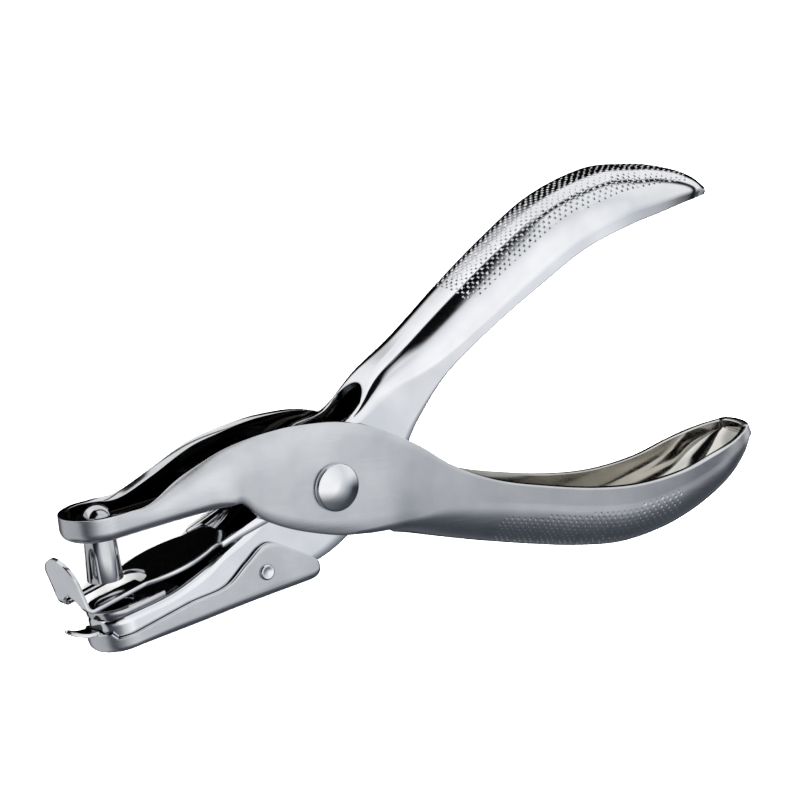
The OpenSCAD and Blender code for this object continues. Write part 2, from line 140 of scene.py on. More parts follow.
# %% [markdown]
# ## The studio
# Polished metal has hardly a colour of its own: it shows the room. So the room is made first. Lamps and
# panels round the tool would do, but a world of ramps has no edges to hide and is quick to tune. It has
# a far side, behind the tool, and a near side, and each is a ramp over height. The far side is a white
# wall with a narrow dark band just above the horizon. On its left hangs a dark curtain, which draws the
# sharp streak on the upper handle. The near side is softer, with a dark middle that shades the
# undersides, and a grey cloth lies in front. A black card low on the right, as photographers use it,
# draws the thin dark lines along rims and crowns, and a grey one low on the left lights the noses.

# %% World
# Height of the direction looked in, from 0 straight down to 1 straight up, and the colour there
FAR_SIDE = [(0.0, "#f0f0f0"), (0.52, "#f0f0f0"), (0.56, "#1c1d20"), (0.61, "#1c1d20"), (0.66, "#eceded"),
            (0.8, "#eceded"), (0.88, "#dcdee0"), (1.0, "#ffffff")]
FAR_LEFT = [(0.0, "#f0f0f0"), (0.45, "#ffffff"), (0.49, "#0a0a0b"), (0.84, "#0c0c0e"), (0.89, "#d2d4d6"),
            (1.0, "#ffffff")]
NEAR_SIDE = [(0.0, "#dcdddf"), (0.25, "#c6c8ca"), (0.42, "#4b4f56"), (0.58, "#101216"), (0.74, "#3a3e45"),
             (0.85, "#a9adb3"), (0.91, "#d6d9dd"), (0.945, "#ffffff")]
# Part of the direction along Y, or for the left along X, over which one side turns into the next
NEAR_TO_FAR = (-0.25, 0.1)
FAR_TO_LEFT = (-0.11, -0.29)
NEAR_TO_CLOTH = (-0.2, -0.6)
CLOTH, CLOTH_SHARE = "#43484f", 0.85
# Colour of each card, the way it lies in, and how far along that way it begins and is full
BLACK_CARD = ("#040404", (0.5, 0, -1), (0.76, 0.9))
GREY_CARD = ("#b9bbbe", (-1, -0.6, -1), (0.85, 1.1))
ROOM_STRENGTH = 1.2

world = bpy.data.worlds.new("studio")
bpy.context.scene.world = world
world.use_nodes = True
tree = world.node_tree
tree.nodes.clear()
looking = add(tree, "TexCoord").outputs["Generated"]
parts = add(tree, "SeparateXYZ", links={0: looking})
height = add(tree, "MapRange", {"From Min": -1.0, "From Max": 1.0},
             {"Value": parts.outputs["Z"]}).outputs["Result"]


def over(base, cover, source, span, most=1.0):
    """Lays the colour cover over base while source goes through span."""
    share = add(tree, "MapRange", {"From Min": span[0], "From Max": span[1], "To Max": most,
                                   "interpolation_type": "SMOOTHSTEP"}, {"Value": source})
    return add(tree, "MixRGB", links={"Fac": share.outputs["Result"], "Color1": base,
                                      "Color2": cover}).outputs["Color"]


def card(base, code, way, span):
    along = add(tree, "VectorMath", {"operation": "DOT_PRODUCT"}, {0: looking})
    along.inputs[1].default_value = way
    face = add(tree, "RGB", {"Color": linear(code)})
    return over(base, face.outputs["Color"], along.outputs["Value"], span)


far_side, far_left, near_side = (add(tree, "ValToRGB", links={"Fac": height}, stops=side).outputs["Color"]
                                 for side in (FAR_SIDE, FAR_LEFT, NEAR_SIDE))
cloth = add(tree, "RGB", {"Color": linear(CLOTH)}).outputs["Color"]
far = over(far_side, far_left, parts.outputs["X"], FAR_TO_LEFT)
room = over(near_side, far, parts.outputs["Y"], NEAR_TO_FAR)
room = over(room, cloth, parts.outputs["Y"], NEAR_TO_CLOTH, CLOTH_SHARE)
room = card(room, *GREY_CARD)
room = card(room, *BLACK_CARD)
light = add(tree, "Background", {"Strength": ROOM_STRENGTH}, {"Color": room})
add(tree, "OutputWorld", links={"Surface": light.outputs["Background"]})
bpy.context.scene.view_settings.view_transform = "Standard"
print("Room light has", len(NEAR_SIDE), "near and", len(FAR_SIDE), "far bands")

# %% [markdown]
# ## Floor and lamps
# The floor is matt pale paper and, like the lamps, does not show in the metal. Two large soft lamps give
# it light and the tool its faint shadow.

# %% Floor
FLOOR_COLOUR = "#f4f4f3"
PAPER_ROUGH = 0.9
FLOOR_SIZE = 6.0
FLOOR_GAP = 0.02
bm = bmesh.new()
bmesh.ops.create_grid(bm, x_segments=1, y_segments=1, size=FLOOR_SIZE / 2)
bmesh.ops.translate(bm, verts=bm.verts, vec=(0, 0, cad_low.z - FLOOR_GAP * MM))
floor_mesh = bpy.data.meshes.new("floor")
bm.to_mesh(floor_mesh)
bm.free()
floor = bpy.data.objects.new("floor", floor_mesh)
bpy.context.scene.collection.objects.link(floor)
paper = bpy.data.materials.new("matt_white_paper")
paper.use_nodes = True
paper_shader = paper.node_tree.nodes["Principled BSDF"]
paper_shader.inputs["Base Color"].default_value = linear(FLOOR_COLOUR)
paper_shader.inputs["Roughness"].default_value = PAPER_ROUGH
floor_mesh.materials.append(paper)
floor.visible_glossy = False
print("Floor at", round(cad_low.z / MM, 2), "mm")

# %% Soft lamps
SOFTBOX_SIZE = 1.2
# Place in metres and power in watts
SOFTBOXES = {"softbox_left": ((-0.9, 0.5, 1.4), 110), "softbox_right": ((1.0, -0.6, 1.5), 90)}
for name, (place, watts) in SOFTBOXES.items():
    lamp = bpy.data.objects.new(name, bpy.data.lights.new(name, "AREA"))
    lamp.data.size = SOFTBOX_SIZE
    lamp.data.energy = watts
    lamp.location = place
    lamp.rotation_euler = (-Vector(place)).to_track_quat("-Z", "Y").to_euler()
    lamp.visible_glossy = False
    bpy.context.scene.collection.objects.link(lamp)
print("Lamps:", ", ".join(SOFTBOXES))


# %% [markdown]
# ## Finishes
# Six finishes cover the tool. Satin nickel is brushed: fine lines stretch along the lever and spread the
# highlight. Bright nickel is a mirror with the slight waviness of a pressing. Inside the channels the
# plating is warmer, and painted shade darkens it nearly to black in the jaws and by the pivot. Sheared
# edges are bare and bright, cutting parts are ground, and the spring is drawn wire. They differ in a few
# numbers only, so one function makes them all.

# %% Metal materials
# The part of its range that a noise mostly stays in
NOISE_LOW, NOISE_HIGH = 0.3, 0.7
# Millimetres from one cloud of the plating to the next, and from one swell of a pressing to the next
CLOUD_SIZE, SWELL_SIZE = 6, 9


def metal(name, colour, darker, gloss, grain, wave=0.0, painted_shade=None):
    """Plated metal. darker is the second tone of its cloudiness, gloss the two ends of its roughness, grain
    the millimetres of one brush line along, across and through, wave the depth of its unevenness in mm. The
    last argument, if given, is painted shade by the pivot: its dark tone and the places in mm along X
    between which it fades out."""
    made = bpy.data.materials.new(name)
    made.use_nodes = True
    tree = made.node_tree
    shader = tree.nodes["Principled BSDF"]
    shader.inputs["Metallic"].default_value = 1.0
    spots = add(tree, "TexCoord").outputs["Object"]
    lines = add(tree, "Mapping", {"Scale": [1 / (size * MM) for size in grain]}, {"Vector": spots})
    brushed = add(tree, "TexNoise", {"Scale": 1.0, "Detail": 3.0}, {"Vector": lines.outputs["Vector"]})
    rough = add(tree, "MapRange", {"From Min": NOISE_LOW, "From Max": NOISE_HIGH, "To Min": gloss[0],
                                   "To Max": gloss[1]}, {"Value": brushed.outputs["Fac"]})
    tree.links.new(rough.outputs["Result"], shader.inputs["Roughness"])
    # Clouds a few millimetres wide keep large faces from looking painted
    clouds = add(tree, "TexNoise", {"Scale": 1 / (CLOUD_SIZE * MM), "Detail": 2.0}, {"Vector": spots})
    tone = add(tree, "ValToRGB", links={"Fac": clouds.outputs["Fac"]},
               stops=[(NOISE_LOW, darker), (NOISE_HIGH, colour)]).outputs["Color"]
    # Painted shade: the tone is darkest in the jaws and by the pivot and fades out towards the handles'
    # tips
    if painted_shade:
        along = add(tree, "SeparateXYZ", links={0: spots}).outputs["X"]
        unshaded = add(tree, "MapRange", {"From Min": painted_shade[1] * MM, "From Max": painted_shade[2] * MM}, {"Value": along})
        tone = add(tree, "MixRGB", {"Color1": linear(painted_shade[0])},
                   {"Fac": unshaded.outputs["Result"], "Color2": tone}).outputs["Color"]
    tree.links.new(tone, shader.inputs["Base Color"])
    if wave:
        swell = add(tree, "TexNoise", {"Scale": 1 / (SWELL_SIZE * MM), "Detail": 0.0}, {"Vector": spots})
        relief = add(tree, "Bump", {"Strength": 1.0, "Distance": wave * MM},
                     {"Height": swell.outputs["Fac"]})
        tree.links.new(relief.outputs["Normal"], shader.inputs["Normal"])
    return made


# Soft grey sheen with fine lines along the lever, drawn coarser than real brushing so that they show
satin_nickel = metal("satin_nickel_plate", "#d5d7da", "#c8cace", (0.27, 0.35), (9, 0.25, 0.25))
# Near mirror: black and white streaks from the room
bright_nickel = metal("bright_nickel_plate", "#e6e7ea", "#dcdde1", (0.05, 0.1), (4, 0.5, 0.5), wave=0.02)
# Warmer than the outside, with painted shade that darkens it nearly to black by the pivot and in the jaws
inner_plate = metal("inner_plate_painted_shade", "#dbd9d4", "#c9c6bf", (0.07, 0.13), (3, 0.6, 0.6),
                    painted_shade=("#2a2825", -2, 74))
# Light narrow line along every rim
sheared_edge = metal("sheared_steel_edge", "#dddee0", "#c6c7ca", (0.08, 0.18), (0.4, 0.4, 2))
# Clear but slightly grey reflections on pin, die and sleeve
tool_steel = metal("ground_tool_steel", "#cacbce", "#bbbcc0", (0.06, 0.1), (0.3, 0.3, 3))
# Dull grey wire
spring_wire = metal("drawn_spring_wire", "#a9abb0", "#8f9197", (0.2, 0.3), (2, 2, 2))
print("Materials:", ", ".join(material.name for material in bpy.data.materials))


# %% [markdown]
# ## Sections along a lever
# A pressed lever is a channel whose section changes along its length. Modelling its surface point by
# point would lose the true sizes, so a few listed rows describe it, each with the middle of its
# web, its rim, half widths, and the bend between web and wall. Between the rows a Catmull-Rom spline
# runs, which passes through every row and keeps the curve smooth.

# %% Driving sizes, in millimetres and degrees
# From the rivet to the pin, to the handles' tips and to the throat
JAW_REACH = 41.4
HANDLE_REACH = 91.0
THROAT_X = 17.5
# Sheet, and half widths from the middle plane out
SHEET = 1.2
NOSE_HALF = 6.3
HANDLE_HALF = 7.98
DIE_HALF = 4.9
PUNCH_HALF = 7.1
# Depth of the handle's channel, and heights in the jaws
HANDLE_H = 11.0
JAW_LIFT = 1.8
DIE_WEB_Y = -5.5
DIE_TOP_Y = -4.5
# Slopes of the jaws and of the upper handle
UPPER_SLOPE = 8.5
LOWER_SLOPE = 16.3
HANDLE_SLOPE = 27.6
# Pin, rivets and their play
HOLE_D = 6.0
PIN_STEM_D = 4.4
RIVET_D = 5.0
RIVET_HEAD_D = 8.2
HINGE_D = 1.8
RUN_CLEAR = 0.05
# Points closer than this are one
MERGE = 0.02

ACROSS = Vector((0, 0, 1))
TO_NOSE, TO_TIP = Vector((-1, 0, 0)), Vector((1, 0, 0))


def turned(degrees, point):
    c, s = math.cos(math.radians(degrees)), math.sin(math.radians(degrees))
    return (point[0] * c - point[1] * s, point[0] * s + point[1] * c)


def spaced(first, last, steps):
    return [first + (last - first) * k / steps for k in range(steps + 1)]


def upright(slope):
    return Vector((*turned(slope, (0, 1)), 0))


def placed(x, y, z=0):
    """A point of the frame, from millimetres in the side view and from the middle plane."""
    return Vector((x, y, z + mid_z)) * MM


PIVOT = placed(0, 0)
HINGE = placed(*turned(LOWER_SLOPE, (-15.9, -9.0)))
print("Rivet at", [round(c / MM, 2) for c in PIVOT], "tray hinge at", [round(c / MM, 2) for c in HINGE])


# %% Rows and the spline through them
def row(web, rim, web_half, rim_half, corner, flat):
    return (*web, *rim, web_half, rim_half, corner, flat)


def plate_row(web, rim, half, lean=0.0, corner=0.5):
    return row(web, rim, half, half - lean, corner, half - corner)


def row_at(rows, place):
    """The section at a place along the rows: 0 is the first row, 1 the next."""
    k = min(int(place), len(rows) - 2)
    f = place - k
    near = [rows[min(max(k + d, 0), len(rows) - 1)] for d in (-1, 0, 1, 2)]
    return [(2 * b + (c - a) * f + (2 * a - 5 * b + 4 * c - d) * f ** 2
             + (3 * b - a - 3 * c + d) * f ** 3) / 2 for a, b, c, d in zip(*near)]


# %% [markdown]
# ## The half section
# Out along the web, round the bend and up the wall. The bend is a quarter of an ellipse. A wall that
# leans in curls towards its rim, one that leans out is straight. Web and bend together get a fixed
# number of steps of equal length and so does the wall. The same step is then the same place all along
# the lever, and the web can later be cut out between two steps.

# %% Half section of a channel
WEB_STEPS = 16
WALL_STEPS = 9
HALF_STEPS = WEB_STEPS + WALL_STEPS
BEND_STEPS = 24
CURL = 4


def even_steps(points, count):
    """Points in equal steps along a line of points."""
    runs = [0.0]
    for a, b in zip(points, points[1:]):
        runs.append(runs[-1] + math.dist(a, b))
    picked = []
    k = 0
    for step in range(count + 1):
        want = runs[-1] * step / count
        while k < len(runs) - 2 and runs[k + 1] < want:
            k += 1
        f = (want - runs[k]) / (runs[k + 1] - runs[k])
        picked.append([a + (b - a) * f for a, b in zip(points[k], points[k + 1])])
    return picked


def half_section(section):
    """Pairs of distance from the middle plane and height above the web."""
    web_half, rim_half, corner, flat = section[4:8]
    rise = math.dist(section[0:2], section[2:4])
    bend = [(0, 0)] + [(flat + (web_half - flat) * math.sin(a), corner * (1 - math.cos(a)))
                       for a in spaced(0, math.pi / 2, BEND_STEPS)]
    curl = CURL if rim_half < web_half else 1
    wall = [(web_half + (rim_half - web_half) * f ** curl, corner + (rise - corner) * f)
            for f in spaced(0, 1, WALL_STEPS)[1:]]
    return even_steps(bend, WEB_STEPS) + wall


# %% [markdown]
# ## Pressing a blank
# The real lever starts as a flat blank and is pressed over a former. The script does the same:
# `create_grid` gives the flat blank with a line of points per station, and each point moves to its place
# on the section. Then the middle of the web is cut away between two places. The bends stay, which keeps
# the side plates stiff.

# %% Stations along the rows
STATION_GAP = 0.6
FINE_STEPS = 400


def stations(rows, stops):
    """Places along the rows, about STATION_GAP apart, with every stop among them."""
    found = [stops[0]]
    for first, last in zip(stops, stops[1:]):
        fine = spaced(first, last, FINE_STEPS)
        middles = [((s[0] + s[2]) / 2, (s[1] + s[3]) / 2) for s in (row_at(rows, place) for place in fine)]
        runs = [math.dist(a, b) for a, b in zip(middles, middles[1:])]
        whole = sum(runs)
        count = max(2, round(whole / STATION_GAP))
        done, step = 0.0, 1
        for place, run in zip(fine[1:], runs):
            done += run
            if step < count and done >= whole * step / count:
                found.append(place)
                step += 1
        found.append(last)
    return found


# %% Press a blank over the rows
NOTCH_FADE = 3


def press(rows, cut, cut_half, notch=0.0):
    """A formed blank, its points by (station, step), and its stations. cut is the pair of places that the
    web is missing between, cut_half the steps that it is missing on each side of the middle, and notch how
    many rows deep the remaining web is hollowed behind the cut."""
    places = stations(rows, sorted({0, *cut, len(rows) - 1}))
    bm = bmesh.new()
    bmesh.ops.create_grid(bm, x_segments=len(places) - 1, y_segments=2 * HALF_STEPS, size=1)
    points = {}
    for v in bm.verts:
        i = round((v.co.x + 1) / 2 * (len(places) - 1))
        k = round((v.co.y + 1) * HALF_STEPS) - HALF_STEPS
        points[i, k] = v
        place = places[i]
        if notch and place >= cut[1] and abs(k) < cut_half:
            fade = max(0.0, 1 - (place - cut[1]) / (NOTCH_FADE * notch))
            place += notch * fade ** 2 * (1 - (k / cut_half) ** 2)
        section = row_at(rows, place)
        out, rise = half_section(section)[abs(k)]
        height = math.dist(section[0:2], section[2:4])
        x, y = (a + (b - a) * rise / height for a, b in zip(section[0:2], section[2:4]))
        v.co = placed(x, y, math.copysign(out, k))
    where = {v: key for key, v in points.items()}

    def missing(v):
        i, k = where[v]
        return cut[0] <= places[i] <= cut[1] and abs(k) <= cut_half

    gone = [f for f in bm.faces if all(missing(v) for v in f.verts)]
    bmesh.ops.delete(bm, geom=gone, context="FACES")
    return bm, points, places


# %% [markdown]
# ## Round ends
# The nose and the tips are round in plan. More rows could close them, but `spin` is simpler: it turns
# the near half of the last section half a circle about the line from web to rim, which is how a turned
# end would come off the former. It then meets the far half, and the doubles merge.

# %% Round off an end
END_STEPS = 20


def round_end(bm, points, station, ahead, reach=1.0):
    """Closes the blank at a station. reach stretches the half circle along ahead."""
    near = [points[station, k] for k in range(HALF_STEPS + 1)]
    far = [points[station, -k] for k in range(HALF_STEPS + 1)]
    rim = (near[-1].co + far[-1].co) / 2
    foot = near[0].co.copy()
    axis = (rim - foot).normalized()
    ahead = (ahead - axis * ahead.dot(axis)).normalized()
    way = math.copysign(1, axis.cross(ACROSS).dot(ahead))
    before = set(bm.verts)
    edges = [bm.edges.get(pair) for pair in zip(near, near[1:])]
    bmesh.ops.spin(bm, geom=near + edges, cent=foot, axis=axis, angle=way * math.pi, steps=END_STEPS)
    made = [v for v in bm.verts if v not in before]
    for v in made:
        v.co += ahead * (v.co - foot).dot(ahead) * (reach - 1)
    bmesh.ops.remove_doubles(bm, verts=made + near + far[1:], dist=MERGE * MM)
    return ahead


# %% [markdown]
# ## From blank to sheet
# A Solidify modifier gives the blank its thickness, on the inside, with the inner face and the rim in
# materials of their own. Sheared and tumbled sheet has no knife edges, so the rim's edges are bevelled
# by a tenth or two. A Bevel modifier would bevel by angle and take the bends along, so the operator gets
# a list.

# %% Objects, shading and soft edges
SMOOTH_ANGLE = 32


def to_object(bm, name, materials):
    mesh = bpy.data.meshes.new(name)
    bm.to_mesh(mesh)
    bm.free()
    for material in materials:
        mesh.materials.append(material)
    made = bpy.data.objects.new(name, mesh)
    bpy.context.scene.collection.objects.link(made)
    return made


def apply_modifiers(made):
    shaped = bpy.data.meshes.new_from_object(made.evaluated_get(bpy.context.evaluated_depsgraph_get()))
    made.modifiers.clear()
    made.data = shaped


def shade(made):
    made.data.shade_smooth()
    made.data.set_sharp_from_angle(angle=math.radians(SMOOTH_ANGLE))


def soften(bm, edges, width):
    bmesh.ops.bevel(bm, geom=edges, offset=width * MM, offset_type="OFFSET", segments=2, profile=0.5,
                    affect="EDGES", material=-1, clamp_overlap=True)


# %% Thickness and rims
# Places in a sheet's list of materials
OUTSIDE, INSIDE, RIM = 0, 1, 2


def sheet_metal(bm, name, materials, thick, outward, edge):
    """Thickens the formed blank bm. outward gives a face's centre the direction that its outside lies in.
    edge is the width of the rim's bevels."""
    bmesh.ops.recalc_face_normals(bm, faces=bm.faces)
    turned_in = sum(1 if f.normal.dot(outward(f.calc_center_median())) < 0 else -1 for f in bm.faces)
    if turned_in > 0:
        bmesh.ops.reverse_faces(bm, faces=bm.faces)
    made = to_object(bm, name, materials)
    thicken = made.modifiers.new("sheet", "SOLIDIFY")
    thicken.thickness = thick * MM
    thicken.offset = -1
    thicken.use_even_offset = True
    thicken.use_quality_normals = True
    thicken.material_offset = INSIDE
    thicken.material_offset_rim = RIM
    apply_modifiers(made)
    bm = bmesh.new()
    bm.from_mesh(made.data)
    rims = []
    for e in bm.edges:
        sides = {f.material_index for f in e.link_faces}
        if RIM in sides and len(sides) == 2:
            rims.append(e)
    soften(bm, rims, edge)
    bm.to_mesh(made.data)
    bm.free()
    return made


# %% [markdown]
# ## Holes
# The bores for rivets and pin are drilled after forming. They could be left open in the grid, but its
# lines don't run round them, so a Boolean modifier cuts them: a temporary cutter stands where the drill
# would and is thrown away afterwards.

# %% Drill a bore
DRILL_SIDES = 48
THROUGH_ALL, THROUGH_WEB = 4 * PUNCH_HALF, 3 * SHEET


def stood(bm, axis, foot):
    """Turns a round shape's axis from Z to axis and puts its foot at foot."""
    turn = ACROSS.rotation_difference(axis).to_matrix().to_4x4()
    bmesh.ops.transform(bm, matrix=Matrix.Translation(foot) @ turn, verts=bm.verts)


def drill(made, diameter, spot, axis, depth):
    bm = bmesh.new()
    bmesh.ops.create_cone(bm, cap_ends=True, segments=DRILL_SIDES, radius1=diameter / 2 * MM,
                          radius2=diameter / 2 * MM, depth=depth * MM)
    stood(bm, axis, spot)
    for f in bm.faces:
        f.material_index = RIM
    cutter = to_object(bm, "drill", made.data.materials)
    bore = made.modifiers.new("bore", "BOOLEAN")
    bore.object = cutter
    bore.operation = "DIFFERENCE"
    bore.solver = "EXACT"
    apply_modifiers(made)
    bpy.data.objects.remove(cutter)


# %% [markdown]
# ## Knurled grips
# The handles are rolled with a diamond knurl where fingers lie. A bump map would vanish in the outline,
# so the pits are real: every second face of the fine grid is inset and its middle pushed in, which
# leaves a net of ridges round small pits.

# %% Knurl the marked faces
def mark_grip(bm, points, places, span, reach):
    """Marks every second face between two places along the rows. reach is the number of steps from the
    middle of the web that the marks go to, at the first place and at the last."""
    first, last = (min(range(len(places)), key=lambda i: abs(places[i] - at)) for at in span)
    where = {v: key for key, v in points.items() if v.is_valid}
    layer = bm.faces.layers.int.new("grip")
    for f in bm.faces:
        keys = [where[v] for v in f.verts]
        i, k = min(key[0] for key in keys), min(key[1] for key in keys)
        along = (i - first) / (last - first)
        far = reach[0] + (reach[1] - reach[0]) * along
        if 0 <= along < 1 and -far <= k < far and (i + k) % 2 == 0:
            f[layer] = 1


def knurl(made, rim, depth):
    """Pits the marked faces, leaving rim mm round each pit of depth mm, and counts the pits."""
    bm = bmesh.new()
    bm.from_mesh(made.data)
    layer = bm.faces.layers.int["grip"]
    pits = [f for f in bm.faces if f[layer] and f.material_index == OUTSIDE]
    bmesh.ops.inset_individual(bm, faces=pits, thickness=rim * MM)
    bmesh.ops.poke(bm, faces=pits, offset=-depth * MM, center_mode="MEAN")
    bm.to_mesh(made.data)
    bm.free()
    return len(pits)


# %% [markdown]
# ## The punch lever
# The outer stamping: upper jaw in front, tall side plates at the rivet, lower handle behind, which ends
# like a spoon. Its channel is open upwards, and the web is missing between throat and handle, where the
# other lever passes through.

# %% Punch lever rows
LEAN_OUT = 0.35
JAW_BEND = 1.6
# Share of the half width that is flat in the handle's web and at its tip
HANDLE_FLAT, SPOON_FLAT = 0.25, 0.12
SPOON_REACH = 0.33


def upper_row(share, rise, web_half, rim_half):
    x = -JAW_REACH + share * (JAW_REACH - THROAT_X)
    return row(turned(UPPER_SLOPE, (x, JAW_LIFT)), turned(UPPER_SLOPE, (x, JAW_LIFT + rise)),
               web_half, rim_half, JAW_BEND, web_half - JAW_BEND)


def lower_row(share, rim_y, depth, half, corner):
    x = share * HANDLE_REACH
    return row((x, rim_y - depth * HANDLE_H), (x, rim_y), half - LEAN_OUT, half, corner, half * HANDLE_FLAT)


def tip_row(web_share, web_y, rim_share, rim_y, half, corner):
    return row((web_share * HANDLE_REACH, web_y), (rim_share * HANDLE_REACH, rim_y), half, half, corner,
               half * SPOON_FLAT)


punch_rows = [
    upper_row(0, 4.2, NOSE_HALF, NOSE_HALF),
    upper_row(0.12, 4.2, NOSE_HALF, 6.1),
    upper_row(0.3, 4.3, NOSE_HALF, 5.5),
    upper_row(0.55, 6.6, 6.4, 4.6),
    upper_row(0.78, 8.5, 6.8, 4.9),
    row(turned(UPPER_SLOPE, (-19.41, JAW_LIFT)), turned(UPPER_SLOPE, (-18.93, JAW_LIFT + 9.5)),
        PUNCH_HALF, 5.1, 0.8, 6.3),
    plate_row(turned(UPPER_SLOPE, (-THROAT_X, 1.5)), (-16.2, 9.5), PUNCH_HALF, 1.9),
    plate_row((-14, -3.9), (-12.2, 10.3), PUNCH_HALF, 1.6),
    plate_row((-8, -6.4), (-7.2, 10.9), PUNCH_HALF, 1.1),
    plate_row((0, -8.3), (0, 10.9), PUNCH_HALF, 0.3),
    plate_row((6, -8.9), (6, 9.7), PUNCH_HALF, corner=1.0),
    plate_row((11.5, -9.4), (11.5, 7.6), PUNCH_HALF, corner=2.0),
    lower_row(0.187, 4.9, 1.42, 7.0, 3.6),
    lower_row(0.264, 0.7, 1.18, 6.8, 6.0),
    lower_row(0.363, -2.8, 1.03, 6.8, 7.2),
    lower_row(0.473, -4.9, 1.0, 7.1, 7.6),
    lower_row(0.582, -6.3, 1.0, 7.6, 7.6),
    lower_row(0.681, -6.6, 1.0, 7.9, 7.6),
    lower_row(0.78, -5.4, 0.945, HANDLE_HALF, 7.6),
    lower_row(0.857, -3.2, 0.877, 7.8, 7.2),
    tip_row(0.916, -9.6, 0.897, -1.9, 7.2, 5.8),
    tip_row(0.953, -5.8, 0.934, -0.7, 6.0, 3.6),
    tip_row(0.973, -2.5, 0.960, 0.2, 4.3, 1.4),
]

# %% Punch lever blank
THROAT_ROW, HANDLE_ROW = 6, 11
LOWER_GRIP, LOWER_GRIP_REACH = (14.1, 18.0), (12, 16)
bm, points, places = press(punch_rows, (THROAT_ROW, HANDLE_ROW), cut_half=13, notch=0.5)
mark_grip(bm, points, places, LOWER_GRIP, LOWER_GRIP_REACH)
round_end(bm, points, 0, TO_NOSE)
round_end(bm, points, len(places) - 1, TO_TIP, SPOON_REACH)
print("Punch lever blank:", len(places), "stations,", len(bm.faces), "faces")


# %% Punch lever: thickness, knurl, bores and finish
LEVER_EDGE = 0.26
LOWER_KNURL = {"rim": 0.18, "depth": 0.1}


def outside_of(rows):
    """Outward means away from the line that runs up the middle of the channel."""
    middles = [placed((s[0] + 2 * s[2]) / 3, (s[1] + 2 * s[3]) / 3) for s in rows]

    def outward(spot):
        return spot - min(middles, key=lambda m: (m - spot).length)
    return outward


satin_finish = [satin_nickel, inner_plate, sheared_edge]
punch_lever = sheet_metal(bm, "punch_lever_sheet", satin_finish, SHEET, outside_of(punch_rows), LEVER_EDGE)
print("Punch lever has", knurl(punch_lever, **LOWER_KNURL), "knurl pits")
drill(punch_lever, RIVET_D, PIVOT, ACROSS, THROUGH_ALL)
pin_seat = placed(*turned(UPPER_SLOPE, (-JAW_REACH, JAW_LIFT)))
drill(punch_lever, PIN_STEM_D, pin_seat, upright(UPPER_SLOPE), THROUGH_WEB)
print("Punch lever has", len(punch_lever.data.polygons), "faces with its bores")
shade(punch_lever)
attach(punch_lever, "punch_side")
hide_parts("punch_lever")


# %% [markdown]
# ## The die lever
# The inner stamping runs the other way: lower jaw, narrow side plates between those of the punch lever,
# then the upper handle with its crown on top. It is plated bright all over.

# %% Die lever rows
DIE_BEND = 1.3
CROWN_FLAT = 0.2
CROWN_REACH = 0.35


def crown_row(web_share, web_y, rim_share, rim_y, half, corner):
    return row(turned(HANDLE_SLOPE, (web_share * HANDLE_REACH, web_y)),
               turned(HANDLE_SLOPE, (rim_share * HANDLE_REACH, rim_y)), half, half, corner,
               half * CROWN_FLAT)


def jaw_row(web, rim):
    return row(turned(LOWER_SLOPE, web), turned(LOWER_SLOPE, rim), DIE_HALF, DIE_HALF, DIE_BEND,
               DIE_HALF - DIE_BEND)


die_rows = [
    jaw_row((-JAW_REACH, DIE_WEB_Y), (-JAW_REACH, -9.1)),
    jaw_row((-33.4, DIE_WEB_Y), (-33.4, -9.4)),
    jaw_row((-26.5, -4.2), (-25.5, -9.8)),
    plate_row((-20.4, -9.2), (-18, -15.5), DIE_HALF),
    plate_row((-15, -5.4), (-9.5, -14), DIE_HALF),
    plate_row((-10, -0.2), (-2, -12.5), DIE_HALF),
    plate_row((-6.4, 5.2), (4.5, -8.6), DIE_HALF),
    plate_row((-1.5, 8.8), (10.5, -2.6), DIE_HALF),
    plate_row((5, 10.9), (14.8, 3.4), DIE_HALF),
    row((10.3, 17.1), (17.6, 8.8), 5.1, 5.1, 3, 2.2),
    crown_row(0.281, 12, 0.307, 3.9, 5.9, 5.6),
    crown_row(0.408, 14.5, 0.424, 6.2, 6.7, 6.8),
    crown_row(0.531, 16.5, 0.542, 7.4, 7.2, 7.4),
    crown_row(0.663, 17.7, 0.665, 8.2, 7.7, 7.6),
    crown_row(0.789, 15.96, 0.769, 7, HANDLE_HALF, 7.2),
    crown_row(0.87, 12.36, 0.846, 5.1, 7.3, 6),
    crown_row(0.93, 8.6, 0.901, 3.6, 6.3, 4.4),
    crown_row(0.969, 4.9, 0.943, 2.1, 4.9, 2.6),
    crown_row(0.99, 1.6, 0.976, 0.6, 2.6, 1),
]

# %% Die lever blank
JAW_ROW, CROWN_ROW = 1.28, 8.35
UPPER_GRIP, UPPER_GRIP_REACH = (11.0, 16.6), (9, 11)
bm, points, places = press(die_rows, (JAW_ROW, CROWN_ROW), cut_half=11, notch=0.4)
mark_grip(bm, points, places, UPPER_GRIP, UPPER_GRIP_REACH)
round_end(bm, points, 0, TO_NOSE)
round_end(bm, points, len(places) - 1, TO_TIP, CROWN_REACH)
print("Die lever blank:", len(places), "stations,", len(bm.faces), "faces")

# %% Die lever: thickness, knurl, holes and finish
UPPER_KNURL = {"rim": 0.13, "depth": 0.16}
# The hole for the paper discs is a little wider than the pin
CHIP_CLEAR = 0.4
bright_finish = [bright_nickel, inner_plate, sheared_edge]
die_lever = sheet_metal(bm, "die_lever_sheet", bright_finish, SHEET, outside_of(die_rows), LEVER_EDGE)
print("Die lever has", knurl(die_lever, **UPPER_KNURL), "knurl pits")
drill(die_lever, RIVET_D + 2 * RUN_CLEAR, PIVOT, ACROSS, THROUGH_ALL)
drill(die_lever, HINGE_D, HINGE, ACROSS, THROUGH_ALL)
die_seat = placed(*turned(LOWER_SLOPE, (-JAW_REACH, DIE_WEB_Y)))
drill(die_lever, HOLE_D + CHIP_CLEAR, die_seat, upright(LOWER_SLOPE), THROUGH_WEB)
print("Die lever has", len(die_lever.data.polygons), "faces with its holes")
shade(die_lever)
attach(die_lever, "die_side")
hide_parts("die_lever")


